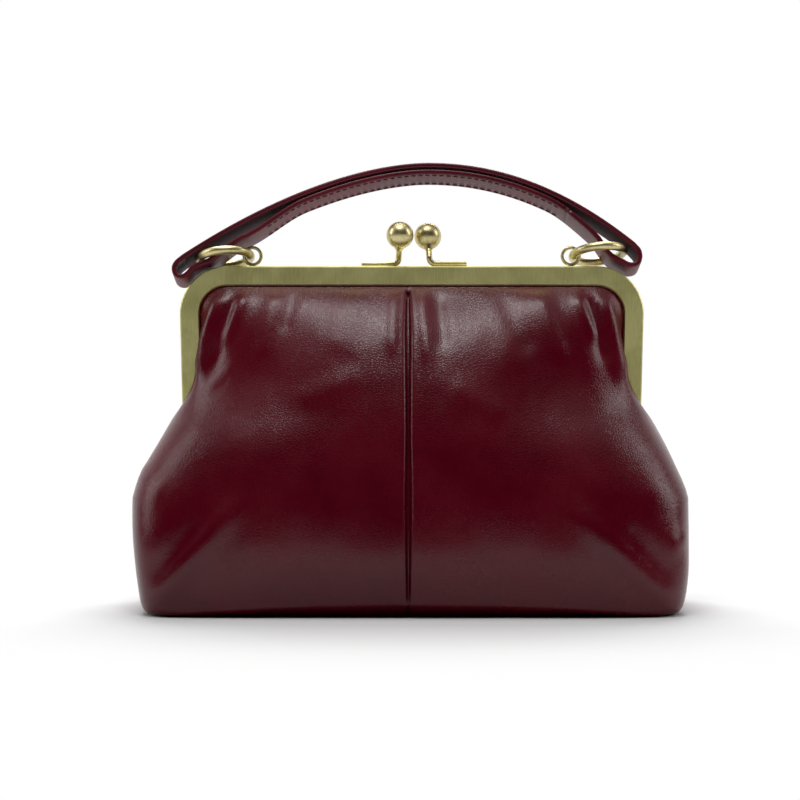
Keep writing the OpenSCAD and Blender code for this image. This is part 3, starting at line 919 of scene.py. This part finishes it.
# The handle.
@dataclass
class Strap:
    """Folded leather strap that wraps both rings, with its stitches.

    Attributes:
        crown: Highest point of its arch, x and height.
        left: Reach past the eye, fall and power of the arch at the left, as right has them at the right.
        inside: The section's face inside the fold; outside is the opposite one.
        inner_points: Points of the inner run; the left loop's loop_points follow.
    """

    pivot: Vec3 = (0.0, 2.8, 157.3)
    lean: float = 14.0
    width: float = 15.0
    thick: float = 2.3
    gap: float = 0.9
    crown: tuple[float, float] = (7.0, 42.0)
    eye_x: float = 71.4
    left: tuple[float, float, float] = (33.0, 45.0, 1.75)
    right: tuple[float, float, float] = (29.4, 38.8, 2.11)
    spread: float = 3.4
    round_r: float = 0.7
    stitch_in: float = 2.0
    stitch_pitch: float = 3.15
    stitch_len: float = 2.3
    inside: int = 14
    outside: int = 4
    inner_points: int = 60
    loop_points: int = 27
    stitch_lift: float = 0.12

    def face(self, x: float) -> float:
        """Height of the outer face above the pivots, in the strap's own plane."""
        cx, ch = self.crown
        reach, fall, power = self.left if x < cx else self.right
        return ch - fall * (abs(x - cx) / (self.eye_x + reach + (cx if x < cx else -cx))) ** power

    def under(self, x: float, depth: float) -> tuple[float, float]:
        """A point below the outer face, along its normal.

        Args:
            x: Where the normal starts.
            depth: How far below.

        Returns:
            The point, x and height.
        """
        dx = 0.1
        dw = self.face(x + dx / 2) - self.face(x - dx / 2)
        size = math.hypot(dx, dw)
        return x + dw / size * depth, self.face(x) - dx / size * depth

    def depth(self, x: float) -> float:
        """Depth of the inner run's outer face."""
        return self.thick + self.gap + self.spread * smooth((abs(x - self.crown[0]) - self.eye_x + 15) / 26)

    def line(self) -> np.ndarray:
        """The strip's middle line, x and height.

        Returns:
            Its points: inner run, left loop, outer run, right loop and return.
        """
        e, half = self.eye_x, self.thick / 2

        def curves(*arcs: tuple) -> list[tuple[float, float]]:
            return [tuple((1 - t) ** 2 * p + 2 * t * (1 - t) * q + t * t * r for p, q, r in zip(a, m, b))
                    for a, m, b in arcs for t in np.linspace(0, 1, 6)]

        inner = [self.under(x, self.depth(x) + half)
                 for x in np.linspace(e + 1.4, -e - 6.6, self.inner_points)]
        outer = [self.under(x, half) for x in np.linspace(-e - 31.1, e + 28.1, 76)]
        back = [self.under(x, self.depth(x) + half) for x in np.linspace(e + 8.6, e + 1.5, 5)]
        left = [(-4.1, 6.9), (-7.1, 5), (-10.1, 2.7), (-13.4, -0.1), (-16.2, -2.4), (-17.9, -3.6),
                (-19.4, -4.55), (-21, -5.05), (-23.4, -5.95)]
        left += curves(((-26.4, -7.9), (-28.8, -11.7), (-30.8, -11.7)),
                       ((-31.5, -11.65), (-33.8, -11.4), (-34.2, -8.5)),
                       ((-34.25, -8.1), (-34.5, -5.7), (-31.2, -3.3)))
        right = curves(((28.7, 1.9), (30.45, 0.3), (30.2, -2.6)), ((30.1, -3), (29.7, -6.3), (26.6, -6.3)),
                       ((26.2, -6.3), (24.5, -6.2), (22.8, -4.9)))
        right += [(19.9, -3.4), (17.5, -1.9), (15.5, 0.2), (13.8, 3.2), (11.8, 6.4), (9.2, 9.4)]
        return np.array(inner + [(x - e, w) for x, w in left] + outer + [(x + e, w) for x, w in right] + back)

    def place(self, x: float, w: float, across: float) -> Vec3:
        """A point of the purse, from its x, its height in the strap's plane and its place across."""
        c, s = math.cos(math.radians(self.lean)), math.sin(math.radians(self.lean))
        return x, self.pivot[1] + w * s - across * c, self.pivot[2] + w * c + across * s

    def sides(self, line: np.ndarray) -> np.ndarray:
        """Unit vectors across the strip's thickness, one for each point of its middle line."""
        d = np.gradient(line, axis=0)
        d /= np.linalg.norm(d, axis=1, keepdims=True)
        return np.stack([-d[:, 1], d[:, 0]], axis=1)

    def strip(self, finishes: Finishes) -> Object:
        """Makes the strip, with rounded painted edges.

        Args:
            finishes: The finishes.

        Returns:
            The strip.
        """
        line = self.line()
        side = self.sides(line)
        h, w, r = self.thick / 2, self.width / 2, self.round_r
        corner = [(r * math.cos(a), r * math.sin(a)) for a in np.linspace(0, math.pi / 2, 5)]
        w, h = w - r, h - r
        ring = [(w + c, h + s) for c, s in corner] + [(-w - s, h + c) for c, s in corner]
        ring += [(-a, -t) for a, t in ring]
        verts, faces, m = [], [], len(ring)
        for p, n in zip(line, side):
            verts += [self.place(p[0] + n[0] * t, p[1] + n[1] * t, a) for a, t in ring]
        for start in range(0, (len(line) - 1) * m, m):
            faces += [[start + i, start + (i + 1) % m, start + m + (i + 1) % m, start + m + i]
                      for i in range(m)]
        faces += [list(range(m))[::-1], list(range(len(verts) - m, len(verts)))]
        obj = mesh_object("handle_strap", np.array(verts), faces, finishes.strap)
        for material in (finishes.edge, finishes.raw, finishes.inner):
            obj.data.materials.append(material)
        # Inside faces get raw leather in the left loop and, everywhere else, the darker material that is
        # painted shade.
        loop = range(self.inner_points, self.inner_points + self.loop_points)
        for poly in obj.data.polygons:
            row, i = divmod(poly.index, m)
            if len(poly.vertices) == 4 and i != self.outside:
                poly.material_index = 1 if i != self.inside else 2 if row in loop else 3
        face_outwards(obj)
        return obj

    def stitch_paths(self) -> list[list[Vec3]]:
        """Lines that the stitches follow, a little above the faces.

        Returns:
            Points of each line.
        """
        e, lift = self.eye_x, self.stitch_lift
        outer = [self.under(x, -lift) for x in np.linspace(-e - 26, e + 22, 90)]
        inner = [self.under(x, self.depth(x) + self.thick + lift) for x in np.linspace(-e + 4, e - 4, 80)]
        across = self.width / 2 - self.stitch_in
        return [[self.place(x, w, sign * across) for x, w in run]
                for sign in (-1, 1) for run in (outer, inner)]


def stitch_tree(material: Material) -> NodeTree:
    """Geometry nodes that lay stitches along curves.

    Args:
        material: Material of the thread.

    Returns:
        The tree, with inputs for the pitch, the length and the thickness.
    """
    sizes = [(label, FLOAT, value * MM)
             for label, value in (("Pitch", 3.15), ("Length", 2.3), ("Thickness", 0.6))]
    nodes, source, sink = new_group("stitches", [("Geometry", "NodeSocketGeometry", None), *sizes],
                                    [("Geometry", "NodeSocketGeometry")], "GeometryNodeTree")
    spread = nodes.add("GeometryNodeCurveToPoints", {"Curve": source.outputs["Geometry"],
                                                     "Length": source.outputs["Pitch"]}, mode="LENGTH")
    stitch = nodes.add("GeometryNodeMeshUVSphere", {"Segments": 6, "Rings": 4, "Radius": 0.5})
    size = nodes.add("ShaderNodeCombineXYZ", {0: source.outputs["Thickness"], 1: source.outputs["Thickness"],
                                              2: source.outputs["Length"]})
    laid = nodes.add("GeometryNodeInstanceOnPoints", {"Points": spread.outputs["Points"],
                                                      "Instance": stitch.outputs["Mesh"],
                                                      "Rotation": spread.outputs["Rotation"],
                                                      "Scale": size.outputs[0]})
    solid = nodes.add("GeometryNodeRealizeInstances", {"Geometry": laid.outputs["Instances"]})
    smoothed = nodes.add("GeometryNodeSetShadeSmooth", {"Geometry": solid.outputs["Geometry"]})
    dressed = nodes.add("GeometryNodeSetMaterial", {"Geometry": smoothed.outputs[0], "Material": material})
    nodes.put(sink, "Geometry", dressed.outputs["Geometry"])
    return nodes.tree


def lay_stitches(name: str, paths: Sequence[Sequence[Vec3]], tree: NodeTree,
                 sizes: dict[str, float]) -> Object:
    """Lays stitches along lines and returns them as one plain mesh.

    Args:
        name: Name of the piece.
        paths: The lines, in millimetres.
        tree: The stitch tree.
        sizes: Its inputs, in millimetres, by name.

    Returns:
        The mesh object.
    """
    curve = bpy.data.curves.new(f"{name}_lines", "CURVE")
    curve.dimensions = "3D"
    for path in paths:
        spline = curve.splines.new("POLY")
        spline.points.add(len(path) - 1)
        for point, spot in zip(spline.points, path):
            point.co = (*(c * MM for c in spot), 1.0)
    lines = new_object(f"{name}_lines", curve)
    modifier = lines.modifiers.new("stitches", "NODES")
    modifier.node_group = tree
    sockets = {s.name: s.identifier for s in tree.interface.items_tree if s.item_type == "SOCKET"
               and s.in_out == "INPUT"}
    for label, value in sizes.items():
        modifier[sockets[label]] = value * MM
    bpy.context.view_layer.update()
    graph = bpy.context.evaluated_depsgraph_get()
    data = bpy.data.meshes.new_from_object(lines.evaluated_get(graph), preserve_all_data_layers=True,
                                           depsgraph=graph)
    bpy.data.objects.remove(lines)
    return new_object(name, data)


# Surroundings.
@dataclass
class Studio:
    """Pale floor, soft light and the camera."""

    eye: Vec3 = (-5.237, -850.0, 92.7)
    lens: float = 85.45
    floor_half: float = 3.0
    floor_tone: float = 0.74

    def camera(self) -> None:
        """Puts the camera where the photograph was taken."""
        data = bpy.data.cameras.new("camera")
        data.lens, data.sensor_width = self.lens, 36.0
        data.clip_start = 0.01
        obj = new_object("camera", data)
        obj.location = [c * MM for c in self.eye]
        obj.rotation_euler = (math.pi / 2, 0, 0)
        bpy.context.scene.camera = obj

    def world(self) -> None:
        """A white background, with a soft dome that is brighter above."""
        world = bpy.data.worlds.new("studio")
        world.use_nodes = True
        bpy.context.scene.world = world
        nodes = Nodes(world.node_tree)
        back = next(n for n in world.node_tree.nodes if n.type == "BACKGROUND")
        way = nodes.add("ShaderNodeTexCoord").outputs["Generated"]
        parts = nodes.add("ShaderNodeSeparateXYZ", {0: way})
        high = nodes.ramp(parts.outputs[2], 0.62, 0.98, 0.0, 0.8)
        behind = nodes.ramp(parts.outputs[1], 0.1, 0.6)
        paths = nodes.add("ShaderNodeLightPath").outputs
        mirrored = nodes.math("MULTIPLY", paths["Is Glossy Ray"], behind)
        seen = nodes.math("ADD", paths["Is Camera Ray"], paths["Is Transmission Ray"])
        strength = nodes.math("MAXIMUM", high, nodes.math("ADD", seen, mirrored, clamp=True))
        nodes.put(back, "Color", (1.0, 1.0, 1.0, 1.0))
        nodes.put(back, "Strength", strength)

    def lamp(self, name: str, spot: Vec3, aim: Vec3, size: tuple[float, float], power: float) -> None:
        """Adds a soft box.

        Args:
            name: Its name.
            spot: Its place, in metres.
            aim: What it faces, in metres.
            size: Its width and height, in metres.
            power: Its power in watts.
        """
        data = bpy.data.lights.new(name, "AREA")
        data.shape, data.size, data.size_y, data.energy = "RECTANGLE", size[0], size[1], power
        obj = new_object(name, data)
        obj.location = spot
        obj.rotation_euler = (Vector(aim) - Vector(spot)).to_track_quat("-Z", "Y").to_euler()

    def floor(self) -> None:
        """A pale floor that fades into the background."""
        e = self.floor_half
        data = bpy.data.meshes.new("floor")
        data.from_pydata([(-e, -e, 0), (e, -e, 0), (e, e, 0), (-e, e, 0)], [], [(0, 1, 2, 3)])
        material, nodes, shader = start_material("floor", (self.floor_tone,) * 3, 0.7)
        paths = nodes.add("ShaderNodeLightPath").outputs
        glow = nodes.add("ShaderNodeEmission", {"Color": (1.0, 1.0, 1.0, 1.0), "Strength": 1.0})
        flat = nodes.vector("MULTIPLY", nodes.place(), (2.1, 2.6, 0.0))
        away = nodes.add("ShaderNodeVectorMath", {0: flat}, operation="LENGTH").outputs["Value"]
        share = nodes.ramp(away, 0.30, 0.62)
        straight = nodes.math("ADD", paths["Is Camera Ray"], paths["Is Transmission Ray"])
        seen = nodes.math("MULTIPLY", share, nodes.math("ADD", straight, paths["Is Glossy Ray"], clamp=True))
        blend = nodes.add("ShaderNodeMixShader", {0: seen, 1: shader.outputs[0], 2: glow.outputs[0]})
        out = next(n for n in material.node_tree.nodes if n.type == "OUTPUT_MATERIAL")
        nodes.put(out, "Surface", blend.outputs[0])
        data.materials.append(material)
        obj = new_object("floor", data)

    def build(self) -> None:
        """Sets up the whole studio."""
        self.camera()
        self.world()
        self.floor()
        self.lamp("top box", (0.0, 0.48, 0.9), (0, 0, 0.08), (0.8, 0.4), 8.5)
        self.lamp("front box", (-0.06, -0.32, 1.0), (0, 0, 0.1), (0.45, 0.22), 3.4)
        for name, x in (("left box", -1.0), ("right box", 1.0)):
            self.lamp(name, (x, -0.1, 0.6), (0, 0, 0.09), (0.4, 0.7), 3.0)
        bpy.context.scene.view_settings.view_transform = "Standard"


# The purse.
class Purse:
    """Builds every piece; the strap and its stitches are tied to the strap's body."""

    BRUSHED = ("front_frame", "back_frame")
    POLISHED = ("left_hinge_rivet", "right_hinge_rivet", "left_strap_eye", "right_strap_eye", "left_ring",
                "right_ring", "front_clasp_stem", "front_clasp_collar", "front_clasp_ball",
                "back_clasp_stem", "back_clasp_collar", "back_clasp_ball")
    PAPER = ("front_paper_cord", "back_paper_cord")
    LOW_Z, HIGH_Z, HIGH_Y = 0.0868, 0.1103, 0.0235
    THREAD = 0.75

    def __init__(self) -> None:
        """Builds the finishes."""
        self.finishes = Finishes()

    def dress(self, names: Sequence[str], material: Material) -> None:
        """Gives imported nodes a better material.

        Args:
            names: The nodes.
            material: Their material.
        """
        for name in names:
            for slot in bpy.data.objects[name].material_slots:
                slot.material = material

    def body(self, side: Side) -> None:
        """Builds the leather, lining and pleat strip of one side.

        Args:
            side: Which side.
        """
        skin = BodySkin(side)
        leather, lining = skin.build(self.finishes)
        underlay = PleatUnderlay(side)
        strip = underlay.build(skin, self.finishes)
        for obj, deep in ((leather, 0.0), (strip, underlay.behind),
                          (lining, skin.leather_t + skin.lining_gap + skin.lining_lead)):
            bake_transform(obj)
        label = side.label
        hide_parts(f"{label}_pouch_leather", f"{label}_upper_leather")
        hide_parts(f"{label}_pouch_lining", f"{label}_upper_lining")
        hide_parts(f"{label}_pleat_underlay")
        LOG.info("%s body: %d faces", label, len(leather.data.polygons))

    def handle(self) -> None:
        """Builds the strap and its stitches."""
        strap = Strap()
        strip = strap.strip(self.finishes)
        tree = stitch_tree(self.finishes.thread)
        stitches = lay_stitches("strap_stitches", strap.stitch_paths(), tree,
                                {"Pitch": strap.stitch_pitch, "Length": strap.stitch_len,
                                 "Thickness": self.THREAD})
        for obj in (strip, stitches):
            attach(obj, Body.STRAP.value)
        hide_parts("strap")
        LOG.info("strap: %d faces, stitches: %d faces", len(strip.data.polygons), len(stitches.data.polygons))

    def build(self) -> None:
        """Builds the whole purse."""
        self.dress(self.BRUSHED, self.finishes.brass)
        self.dress(self.POLISHED, self.finishes.polished)
        self.dress(self.PAPER, self.finishes.paper)
        self.dress(("base_board",), self.finishes.board)
        for side in Side:
            self.body(side)
        self.handle()


def main() -> None:
    """Builds the studio and the purse, whose pieces log their face counts."""
    logging.basicConfig(level=logging.INFO)
    Studio().build()
    Purse().build()
    bpy.context.view_layer.update()


if __name__ == "__main__":
    main()
